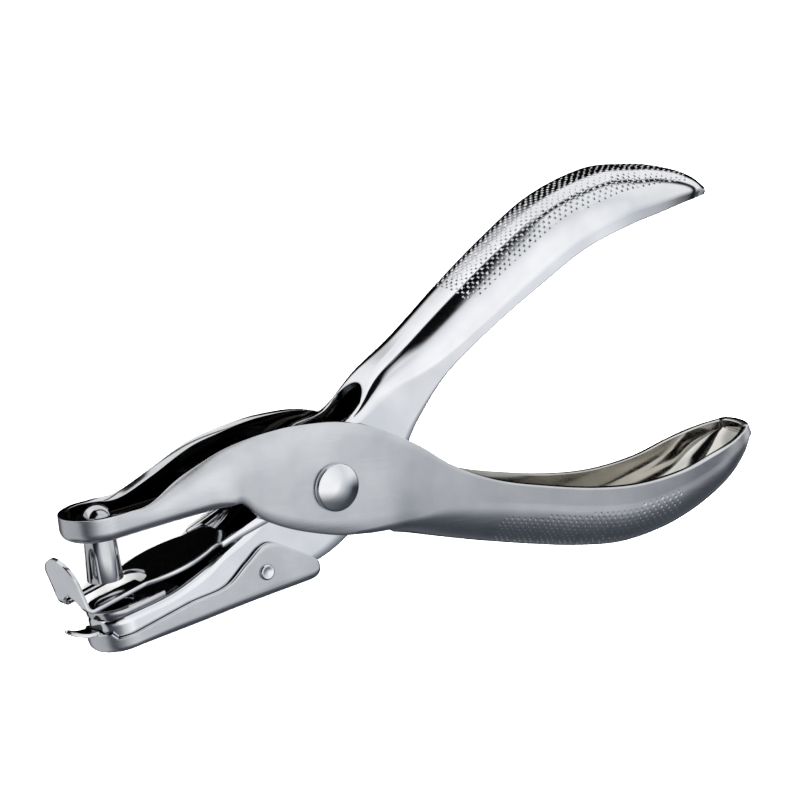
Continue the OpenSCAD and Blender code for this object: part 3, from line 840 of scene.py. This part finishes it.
# %% [markdown]
# ## The chip tray
# A thin pressed tray clips round the lower jaw and catches the paper discs. It is pressed like the
# levers, but its back end stays open, its floor stops before the hinge, and a thumb lip is drawn forward
# from its nose.

# %% Chip tray blank
TRAY_SHEET = 0.7
TRAY_HALF = 5.85
TRAY_BEND = 1.4
TRAY_DEPTH = 3.5
NOSE_RIM = -8.0


def tray_row(floor_spot, rim_spot):
    return row(turned(LOWER_SLOPE, floor_spot), turned(LOWER_SLOPE, rim_spot), TRAY_HALF, TRAY_HALF,
               TRAY_BEND, TRAY_HALF - TRAY_BEND)


tray_rows = [
    tray_row((-JAW_REACH, NOSE_RIM - TRAY_DEPTH), (-JAW_REACH, NOSE_RIM)),
    tray_row((-30, -12.4), (-30, -8.3)),
    tray_row((-24, -12.8), (-23.6, -8.4)),
    tray_row((-18.8, -13.2), (-18.8, -6.2)),
    tray_row((-14.3, -13.6), (-14.3, -4.5)),
    tray_row((-10, -14), (-10, -7.3)),
    tray_row((-7.1, -14.2), (-6.8, -10.2)),
    tray_row((-6.0, -13.7), (-5.8, -11.4)),
]
FLOOR_ROW, TRAY_END = 3.07, len(tray_rows) - 1
bm, points, places = press(tray_rows, (FLOOR_ROW, TRAY_END), cut_half=12)
ahead = round_end(bm, points, 0, TO_NOSE)
print("Tray blank:", len(places), "stations,", len(bm.faces), "faces")

# %% [markdown]
# The rim stands higher in front, where the lip is, than on the sides. So the wall is pushed down from a
# certain angle round the nose on, in full just behind that step, and less and less towards the hinge.

# %% Step the rim down beside the nose
SIDE_DROP, SIDE_RUN = 0.9, 11.0
SIDE_ANGLE = 48
SIDE_FROM = 1.0
nose_mid = placed(*turned(LOWER_SLOPE, (-JAW_REACH, NOSE_RIM)))
jaw_up = upright(LOWER_SLOPE)
for v in bm.verts:
    along, side, rise = ((v.co - nose_mid).dot(way) / MM for way in (ahead, ACROSS, jaw_up))
    share = max(0, 1 + rise / TRAY_DEPTH) * max(0, 1 + min(0, along) / SIDE_RUN)
    if math.degrees(math.atan2(abs(side), along)) > SIDE_ANGLE and abs(side) > SIDE_FROM:
        v.co -= jaw_up * SIDE_DROP * share * MM
print("Rim stepped down by", SIDE_DROP, "mm beside the nose")

# %% [markdown]
# The lip is drawn out of the nose's rim by extruding a row of edges a few times. Each step turns a
# little further down and is narrower, so the lip curls and ends round.

# %% Draw the lip forward from the nose
LIP_HALF, LIP_FROM = 2.42, 2.0
LIP_REACH = 5.0
LIP_STEPS = 6
LIP_TILT = 27
# Steps that the lip stops short of a full ellipse
LIP_BLUNT = 0.4


def pull(bm, edges):
    """Extrudes a row of edges and returns the new row and its points, which are still to be moved."""
    made = bmesh.ops.extrude_edge_only(bm, edges=edges)["geom"]
    spots = [g for g in made if isinstance(g, bmesh.types.BMVert)]
    drawn = [g for g in made if isinstance(g, bmesh.types.BMEdge) and set(g.verts) <= set(spots)]
    return drawn, spots


def at_lip(v):
    spot = (v.co - nose_mid) / MM
    return abs(spot.dot(ACROSS)) < LIP_HALF and spot.dot(ahead) > LIP_FROM


def lip_width(step):
    return math.sqrt(1 - (step / (LIP_STEPS + LIP_BLUNT)) ** 2)


edge = [e for e in bm.edges if e.is_boundary and all(at_lip(v) for v in e.verts)]
for step in range(1, LIP_STEPS + 1):
    edge, moved = pull(bm, edge)
    curl = math.radians(-2 * LIP_TILT * step / (LIP_STEPS + 1))
    lip_way = Matrix.Rotation(curl, 3, "Z") @ ahead
    wider = lip_width(step) / lip_width(step - 1) - 1
    for v in moved:
        side = (v.co - nose_mid).dot(ACROSS)
        v.co += lip_way * LIP_REACH / LIP_STEPS * MM + ACROSS * side * wider
print("Tray blank with its lip:", len(bm.faces), "faces")

# %% Chip tray: thickness and finish
TRAY_EDGE = 0.1
FLAP_FROM, FLAP_IN = -18.2, 5.06
tray = sheet_metal(bm, "chip_tray_sheet", satin_finish, TRAY_SHEET, outside_of(tray_rows), TRAY_EDGE)
# Behind the floor the bend is trimmed straight inside, so that the flaps pass the jaw when the tray swings
for v in tray.data.vertices:
    side = v.co.z / MM - mid_z
    if turned(-LOWER_SLOPE, v.co.xy / MM)[0] > FLAP_FROM and abs(side) < FLAP_IN:
        v.co.z = (mid_z + math.copysign(FLAP_IN, side)) * MM
drill(tray, HINGE_D + 2 * RUN_CLEAR, HINGE, ACROSS, THROUGH_ALL)
print("Tray has", len(tray.data.polygons), "faces")
shade(tray)
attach(tray, "tray")
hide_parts("chip_tray")


# %% [markdown]
# ## Turned parts
# Pin, rivets and sleeve are round. Stacked cylinders would leave faces inside, so half an outline is
# spun once about its axis, as on a lathe. Edges sharper than a third of a right angle get a small bevel,
# as a deburring tool would leave them.

# %% Lathe
TURN_STEPS = 48
TURN_MERGE = 0.001
SHARP_TURN = 30
DOME_STEPS = 10


def lathe(outline, edge=0.08):
    """Spins pairs of radius and height about Z. edge is the width of the bevels."""
    bm = bmesh.new()
    chain = [bm.verts.new((r * MM, 0, h * MM)) for r, h in outline]
    links = [bm.edges.new(pair) for pair in zip(chain, chain[1:])]
    bmesh.ops.spin(bm, geom=chain + links, cent=(0, 0, 0), axis=ACROSS, angle=2 * math.pi, steps=TURN_STEPS,
                   use_merge=True)
    bmesh.ops.remove_doubles(bm, verts=bm.verts, dist=TURN_MERGE * MM)
    bmesh.ops.recalc_face_normals(bm, faces=bm.faces)
    sharp = [e for e in bm.edges if e.is_manifold and e.calc_face_angle() > math.radians(SHARP_TURN)]
    soften(bm, sharp, edge)
    return bm


def dome(radius, rise):
    """Outline of a cap from its rim to its top."""
    big = (radius ** 2 + rise ** 2) / (2 * rise)
    start = math.asin(radius / big)
    return [(big * math.sin(a), rise - big * (1 - math.cos(a))) for a in spaced(start, 0, DOME_STEPS)]


# %% [markdown]
# ## The punch pin
# The pin is hardened and a little wider at its cutting end than at its root, so it frees itself from the
# paper. Its cutting face is slightly hollow. It goes through the jaw's web and is upset on the other
# side into a round crown.

# %% Punch pin
PIN_LOW = -5.9
PIN_ROOT_D = 5.2
PIN_STEP = 0.05
HOLLOW, LAND, LAND_RISE = 0.35, 0.7, 0.12
CROWN_LOW, CROWN_R = 3.0, 2.5
CROWN_SIDE_H, CROWN_TOP_H = 1.6, 2.3
root_h, crown_h = JAW_LIFT - PIN_LOW, CROWN_LOW - PIN_LOW
cutting_end = [(0, HOLLOW), (HOLE_D / 2 - LAND, LAND_RISE), (HOLE_D / 2, 0)]
stem = [(PIN_ROOT_D / 2, root_h - PIN_STEP), (PIN_STEM_D / 2, root_h), (PIN_STEM_D / 2, crown_h)]
crown = [(CROWN_R, crown_h)] + [(r, h + crown_h + CROWN_SIDE_H) for r, h in dome(CROWN_R, CROWN_TOP_H)]
bm = lathe(cutting_end + stem + crown)
stood(bm, upright(UPPER_SLOPE), placed(*turned(UPPER_SLOPE, (-JAW_REACH, PIN_LOW))))
pin = to_object(bm, "punch_pin_turned", [tool_steel])
shade(pin)
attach(pin, "punch_side")
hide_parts("punch_pin")
print("Pin has", len(pin.data.polygons), "faces")

# %% [markdown]
# ## Pivot rivet, sleeve and tray rivets
# The rivet's head is a polished dome, its other end is spread flat. The sleeve on it holds the levers'
# distance and carries the spring. The tray hangs on two small dished rivets, of which one is turned and
# mirrored.

# %% Pivot rivet
RIVET_HEAD_H = 1.7
RIVET_RIM_H = 0.9
RIVET_EDGE = 0.2
TAIL_R, TAIL_ROOT_R = 3.4, 4.0
tail = [(0, -mid_z), (TAIL_R, -mid_z), (TAIL_ROOT_R, -PUNCH_HALF), (RIVET_D / 2, -PUNCH_HALF)]
head = [(RIVET_D / 2, PUNCH_HALF), (RIVET_HEAD_D / 2, PUNCH_HALF)]
head += [(r, h + PUNCH_HALF + RIVET_RIM_H) for r, h in dome(RIVET_HEAD_D / 2, RIVET_HEAD_H - RIVET_RIM_H)]
bm = lathe(tail + head, RIVET_EDGE)
stood(bm, ACROSS, PIVOT)
rivet = to_object(bm, "pivot_rivet_turned", [bright_nickel])
shade(rivet)
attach(rivet, "punch_side")
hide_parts("pivot_rivet")
print("Rivet has", len(rivet.data.polygons), "faces")

# %% Sleeve
SLEEVE_HALF = 3.55
SLEEVE_IN, SLEEVE_OUT = RIVET_D / 2 + RUN_CLEAR, 3.4
bm = lathe([(SLEEVE_IN, -SLEEVE_HALF), (SLEEVE_OUT, -SLEEVE_HALF), (SLEEVE_OUT, SLEEVE_HALF),
            (SLEEVE_IN, SLEEVE_HALF), (SLEEVE_IN, -SLEEVE_HALF)])
stood(bm, ACROSS, PIVOT)
sleeve = to_object(bm, "pivot_sleeve_turned", [tool_steel])
shade(sleeve)
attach(sleeve, "punch_side")
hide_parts("pivot_sleeve")
print("Sleeve has", len(sleeve.data.polygons), "faces")

# %% Tray hinge rivets
HINGE_IN = 3.7
HINGE_HEAD = TRAY_HALF + RUN_CLEAR
HINGE_EDGE = 0.05
# Radius and height above the tray's side, from the head's rim to the middle of its dish
DISHED = [(1.4, 0), (1.35, 0.3), (1.1, 0.5), (0.75, 0.42), (0, 0.3)]
shank = [(0, HINGE_IN), (HINGE_D / 2, HINGE_IN), (HINGE_D / 2, HINGE_HEAD)]
bm = lathe(shank + [(r, HINGE_HEAD + h) for r, h in DISHED], HINGE_EDGE)


def mirrored(bm, merge=0.0):
    bmesh.ops.mirror(bm, geom=bm.verts[:] + bm.edges[:] + bm.faces[:], axis="Z", merge_dist=merge * MM)
    bmesh.ops.recalc_face_normals(bm, faces=bm.faces)


mirrored(bm)
stood(bm, ACROSS, HINGE)
hinge = to_object(bm, "tray_hinge_rivets_turned", [bright_nickel])
shade(hinge)
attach(hinge, "die_side")
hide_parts("tray_hinge_rivets")
print("Tray rivets have", len(hinge.data.polygons), "faces")


# %% [markdown]
# ## Blanked parts
# The die plate and the stripper's arms are flat blanks with a hole. Outline and hole are drawn as edges,
# `triangle_fill` closes the area between them, and an extrusion gives the thickness. A Boolean would do
# too, but leaves long thin faces.

# %% Blank out a plate
BLANK_EDGE = 0.08
SHARP_BLANK = 50
FLAT = 0.01
CIRCLE_STEPS = 48


def blank(loops, low, high):
    """A plate between two heights along Z. loops are closed outlines in mm, the outer one first."""
    bm = bmesh.new()
    for loop in loops:
        spots = [bm.verts.new((x * MM, y * MM, low * MM)) for x, y in loop]
        for pair in zip(spots, spots[1:] + spots[:1]):
            bm.edges.new(pair)
    bmesh.ops.triangle_fill(bm, use_beauty=True, use_dissolve=False, edges=bm.edges)
    inner = [e for e in bm.edges if not e.is_boundary]
    bmesh.ops.dissolve_limit(bm, angle_limit=FLAT, verts=bm.verts, edges=inner)
    raised = bmesh.ops.extrude_face_region(bm, geom=list(bm.faces))["geom"]
    top = [g for g in raised if isinstance(g, bmesh.types.BMVert)]
    bmesh.ops.translate(bm, vec=(0, 0, (high - low) * MM), verts=top)
    bmesh.ops.recalc_face_normals(bm, faces=bm.faces)
    sharp = [e for e in bm.edges if e.is_manifold and e.calc_face_angle() > math.radians(SHARP_BLANK)
             and abs(e.verts[0].co.z - e.verts[1].co.z) < FLAT * MM]
    soften(bm, sharp, BLANK_EDGE)
    return bm


def arc(radius, first, last, steps):
    return [turned(a, (radius, 0)) for a in spaced(first, last, steps)]


def circle(radius):
    return arc(radius, 0, 360, CIRCLE_STEPS)[:-1]


# %% [markdown]
# ## The die plate
# A hardened plate on the lower jaw with the hole that the pin enters. Its front follows the jaw's round
# nose.

# %% Die plate
DIE_BACK = 7.0
DIE_CLEAR = 0.35
DIE_DRAFT = 0.05
nose_arc = arc(DIE_HALF, 90, 270, 32)
back_corners = [(DIE_BACK, -DIE_HALF + DIE_DRAFT), (DIE_BACK, DIE_HALF - DIE_DRAFT)]
bm = blank([nose_arc + back_corners, circle(HOLE_D / 2 + DIE_CLEAR)], 0, DIE_TOP_Y - DIE_WEB_Y)
lay = Matrix.Rotation(math.radians(LOWER_SLOPE), 4, "Z") @ Matrix.Rotation(math.radians(-90), 4, "X")
bmesh.ops.transform(bm, verts=bm.verts, matrix=Matrix.Translation(die_seat) @ lay)
die = to_object(bm, "die_plate_ground", [tool_steel])
shade(die)
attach(die, "die_side")
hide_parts("die_plate")
print("Die plate has", len(die.data.polygons), "faces")


# %% [markdown]
# ## The stripper
# A thin bright strip holds the paper back when the pin leaves it. Seen from the side it runs along the
# jaw and turns up in front into a rounded tab; seen from above it has a window for the pin. Only one
# half is made, as a grid between the window's edge and the outer edge, and `mirror` gives the other.

# %% Side view of the strip
STRIP_REAR = 22.0
EAR_FROM, EAR_STEP = 19.0, 0.3
WINDOW_END, WINDOW_R, WINDOW_STRAIGHT = 6.6, 4.0, 2.0
BEND_X, BEND_R = -5.94, 1.5
TAB_LEAN, TAB_H = 5, 9.8
TOP_CROWDING = 80
EAR_STEPS, LEAF_STEPS, WINDOW_STEPS, FLAT_STEPS, TURN_UP_STEPS, TAB_STEPS = 4, 10, 14, 8, 8, 24


def strip_path():
    """Points of the strip's underside from its rear end to the top of the tab."""
    xs = spaced(STRIP_REAR, EAR_FROM, EAR_STEPS) + spaced(EAR_FROM - EAR_STEP, WINDOW_END, LEAF_STEPS)[:-1]
    xs += [WINDOW_END - WINDOW_R * (1 - math.cos(math.radians(a))) for a in spaced(0, 90, WINDOW_STEPS)]
    xs += spaced(WINDOW_STRAIGHT, BEND_X, FLAT_STEPS)
    path = [(x, 0.0) for x in xs]
    for a in spaced(270, 180 + TAB_LEAN, TURN_UP_STEPS)[1:]:
        x, y = turned(a, (BEND_R, 0))
        path.append((BEND_X + x, BEND_R + y))
    lean = (-math.sin(math.radians(TAB_LEAN)), math.cos(math.radians(TAB_LEAN)))
    foot = path[-1]
    run = (TAB_H - foot[1]) / lean[1]
    # Closer together towards the round top
    for a in spaced(0, TOP_CROWDING, TAB_STEPS)[1:]:
        t = run * math.sin(math.radians(a)) / math.sin(math.radians(TOP_CROWDING))
        path.append((foot[0] + lean[0] * t, foot[1] + lean[1] * t))
    return path


path = strip_path()
bend_from = next(k for k, spot in enumerate(path) if spot[1] > 0)
print("Strip's side view has", len(path), "points, the bend starts at", bend_from)

# %% Top view of the strip
STRIP_HALF = 4.7
EAR_HALF = 5.65
LEAF_X, LEAF_R, LEAF_HALF = 11.0, 14.33, 6.5
WINDOW_HALF = 3.5
NOTCH_R, NOTCH_Y = 3.4, -0.6
TAB_TOP_R, TAB_TOP_FLAT = 5.2, 0.9


def strip_edges(x, y, on_tab):
    """Half widths of the window and of the strip."""
    if on_tab:
        window = math.sqrt(max(0, NOTCH_R ** 2 - (y - NOTCH_Y) ** 2))
        top = y - (TAB_H - TAB_TOP_R)
        outer = min(STRIP_HALF, math.sqrt(max(0, TAB_TOP_R ** 2 - max(0, top) ** 2)))
        return min(window, WINDOW_HALF), max(outer, TAB_TOP_FLAT)
    inside = max(0, x - (WINDOW_END - WINDOW_R))
    window = min(WINDOW_HALF, math.sqrt(max(0, WINDOW_R ** 2 - inside ** 2)))
    leaf = math.sqrt(max(0, LEAF_R ** 2 - (x - LEAF_X) ** 2)) - LEAF_R + LEAF_HALF
    return window, EAR_HALF if x > EAR_FROM - EAR_STEP / 2 else max(STRIP_HALF, leaf)


# %% Stripper strip
STRIP = 0.7
STRIP_EDGE = 0.08
STRIP_COLUMNS = 8
STRIP_Y = DIE_TOP_Y + 1.8
STRIP_SLOPE = 3
# A point above the strip and behind its tab, which the outside faces away from
OVER_STRIP = Vector((3, 9, 0)) * MM

bm = bmesh.new()
bmesh.ops.create_grid(bm, x_segments=len(path) - 1, y_segments=STRIP_COLUMNS, size=1)
for v in bm.verts:
    i = round((v.co.x + 1) / 2 * (len(path) - 1))
    share = (v.co.y + 1) / 2
    x, y = path[i]
    window, outer = strip_edges(x, y, i >= bend_from)
    v.co = Vector((x, y, window + (outer - window) * share)) * MM
mirrored(bm, MERGE)
bmesh.ops.remove_doubles(bm, verts=bm.verts, dist=MERGE * MM)
strip_foot = placed(*turned(LOWER_SLOPE, (-JAW_REACH, STRIP_Y)))
strip_turn = Matrix.Rotation(math.radians(LOWER_SLOPE + STRIP_SLOPE), 4, "Z")
strip_lay = Matrix.Translation(strip_foot) @ strip_turn
bmesh.ops.transform(bm, verts=bm.verts, matrix=strip_lay)
above = strip_lay @ OVER_STRIP
strip = sheet_metal(bm, "stripper_strip", [bright_nickel, bright_nickel, sheared_edge], STRIP,
                    lambda spot: spot - above, STRIP_EDGE)
print("Stripper strip has", len(strip.data.polygons), "faces")

# %% Stripper arms
ARM_IN = 5.05
EYE_WALL = 2
# Corners in millimetres from the rivet, along and across the lower jaw
upper_edge = [(-22.4, -0.8), (-19.2, -0.3), (-15, 0.4), (-9, 2.6)]
lower_edge = [(-10, -1), (-19.2, -1.6), (-22.4, -1.75)]
outline = upper_edge + arc(RIVET_D / 2 + EYE_WALL, 130, -135, 36) + lower_edge
bm = blank([outline, circle(RIVET_D / 2 + RUN_CLEAR)], ARM_IN, ARM_IN + STRIP)
mirrored(bm)
arm_lay = Matrix.Translation(PIVOT) @ Matrix.Rotation(math.radians(LOWER_SLOPE), 4, "Z")
bmesh.ops.transform(bm, verts=bm.verts, matrix=arm_lay)
arms = to_object(bm, "stripper_arms", [bright_nickel])
for piece in (strip, arms):
    shade(piece)
    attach(piece, "die_side")
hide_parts("stripper")
print("Arms have", len(arms.data.polygons), "faces")


# %% [markdown]
# ## The return spring
# A torsion spring of round wire sits on the sleeve. A curve with a bevel could make it, but a circle
# spun with a small step along the axis at each turn gives the coil in one call, and its two end rings
# are drawn out straight into the legs that press the handles apart. When the handles close, one leg goes
# with each lever.

# %% Coil
WIRE_R, WIRE_SIDES = 0.55, 14
COIL_R = 4.1
COIL_PITCH = 1.65
COIL_STEP = 8
LOWER_LEG, UPPER_LEG = -14.4, 39
COIL_FROM = 270 + LOWER_LEG
COIL_TURN = COIL_FROM - 90 - UPPER_LEG + 3 * 360
COIL_RISE = COIL_PITCH * COIL_TURN / 360

bm = bmesh.new()
ring = bmesh.ops.create_circle(bm, cap_ends=False, radius=WIRE_R * MM, segments=WIRE_SIDES)["verts"]
first_ring = list(bm.edges)
offset = Vector((COIL_R, 0, -COIL_RISE / 2)) * MM
stand = Matrix.Translation(offset) @ Matrix.Rotation(math.radians(90), 4, "X")
bmesh.ops.transform(bm, verts=ring, matrix=Matrix.Rotation(math.radians(COIL_FROM), 4, "Z") @ stand)
coil_steps = round(COIL_TURN / COIL_STEP)
coiled = bmesh.ops.spin(bm, geom=ring + first_ring, cent=(0, 0, 0), axis=ACROSS,
                        angle=-math.radians(COIL_TURN), dvec=(0, 0, COIL_RISE * MM / coil_steps),
                        steps=coil_steps)
last_ring = [g for g in coiled["geom_last"] if isinstance(g, bmesh.types.BMEdge)]
print("Coil has", round(COIL_TURN / 360, 2), "turns and is", round(COIL_RISE, 2), "mm long")

# %% Legs and finish of the spring
LEG = 21.0
LEG_STEPS = 12
for edges, degrees in ((first_ring, LOWER_LEG), (last_ring, UPPER_LEG)):
    way = Vector((*turned(degrees, (1, 0)), 0))
    for step in range(LEG_STEPS):
        edges, moved = pull(bm, edges)
        bmesh.ops.translate(bm, verts=moved, vec=way * LEG / LEG_STEPS * MM)
bmesh.ops.holes_fill(bm, edges=[e for e in bm.edges if e.is_boundary], sides=0)
bmesh.ops.translate(bm, verts=bm.verts, vec=PIVOT)
bmesh.ops.recalc_face_normals(bm, faces=bm.faces)
spring = to_object(bm, "return_spring_wire", [spring_wire])
shade(spring)
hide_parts("return_spring")
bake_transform(spring)
print("Spring has", len(spring.data.polygons), "faces")


# %% [markdown]
# ## Sizes and the end
# The CAD model's box is printed at the end. The visual model must stay inside the CAD model's box.

# %% Finish
print("CAD box mm:", [round(c / MM, 2) for c in (*cad_low, *cad_high)])
